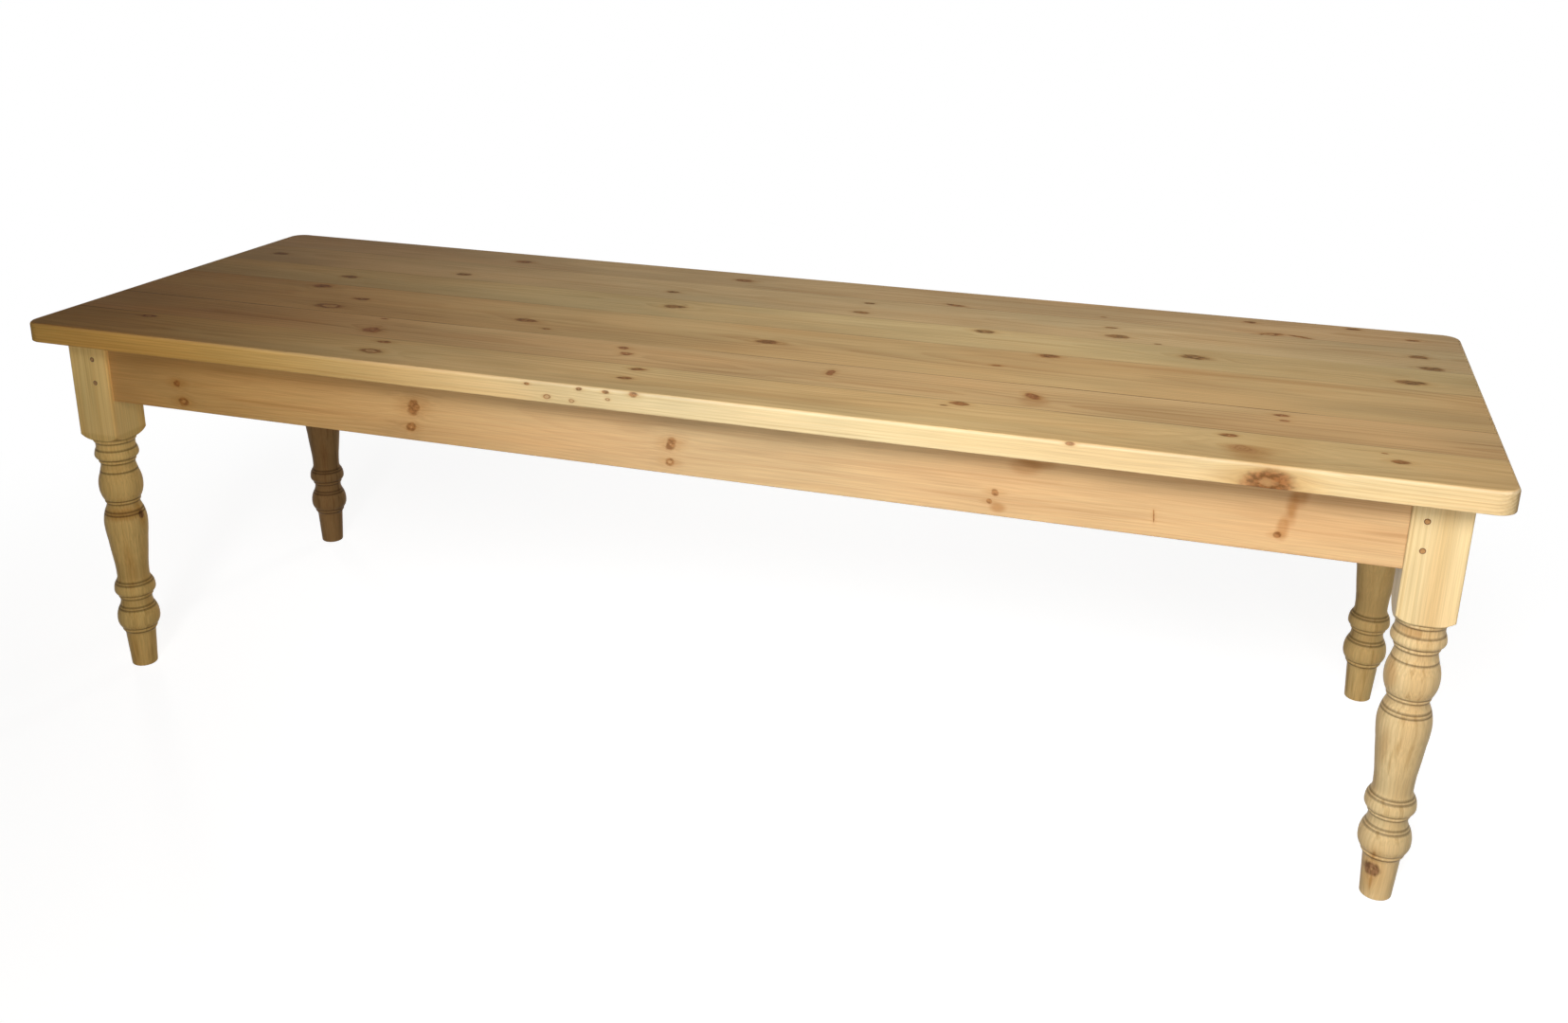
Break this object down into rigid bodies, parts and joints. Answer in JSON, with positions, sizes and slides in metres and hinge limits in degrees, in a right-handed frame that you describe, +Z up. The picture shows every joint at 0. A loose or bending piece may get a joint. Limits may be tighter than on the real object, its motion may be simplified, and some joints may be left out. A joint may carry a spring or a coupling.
{
  "type": "farmhouse dining table",
  "caption": "Long rectangular pine dining table with a plank top, rounded corners, plain aprons and turned legs.",
  "frame": {"origin": "on the floor, under the middle of the top", "axes": "+X along the table to its right end, +Y from the front to the back, +Z up"},
  "size_m": [2.71, 0.92, 0.78],
  "materials": {
    "top_pine": "waxed knotty pine, satin, grain along X",
    "leg_pine": "waxed knotty pine, satin, grain along Z",
    "apron_pine": "waxed knotty pine, satin, grain along the apron",
    "hidden_pine": "planed bare pine",
    "peg_wood": "end grain, satin",
    "button_wood": "planed bare wood",
    "screw_steel": "zinc plated, dull"
  },
  "bodies": {
    "root": {"top_board_1": "top_pine", "top_board_2": "top_pine", "top_board_3": "top_pine", "top_board_4": "top_pine", "top_board_5": "top_pine", "top_board_6": "top_pine", "top_tongue_1": "hidden_pine", "top_tongue_2": "hidden_pine", "top_tongue_3": "hidden_pine", "top_tongue_4": "hidden_pine", "top_tongue_5": "hidden_pine", "leg_front_left": "leg_pine", "leg_front_right": "leg_pine", "leg_back_left": "leg_pine", "leg_back_right": "leg_pine", "apron_front": "apron_pine", "apron_back": "apron_pine", "apron_left": "apron_pine", "apron_right": "apron_pine", "pegs_front_left": "peg_wood", "pegs_front_right": "peg_wood", "pegs_back_left": "peg_wood", "pegs_back_right": "peg_wood", "bearer_left": "hidden_pine", "bearer_right": "hidden_pine", "button_front_1": "button_wood", "button_front_2": "button_wood", "button_front_3": "button_wood", "button_front_4": "button_wood", "button_front_5": "button_wood", "button_back_1": "button_wood", "button_back_2": "button_wood", "button_back_3": "button_wood", "button_back_4": "button_wood", "button_back_5": "button_wood", "button_left_1": "button_wood", "button_left_2": "button_wood", "button_right_1": "button_wood", "button_right_2": "button_wood", "button_screws": "screw_steel", "bearer_screws": "screw_steel"}
  },
  "joints": []
}
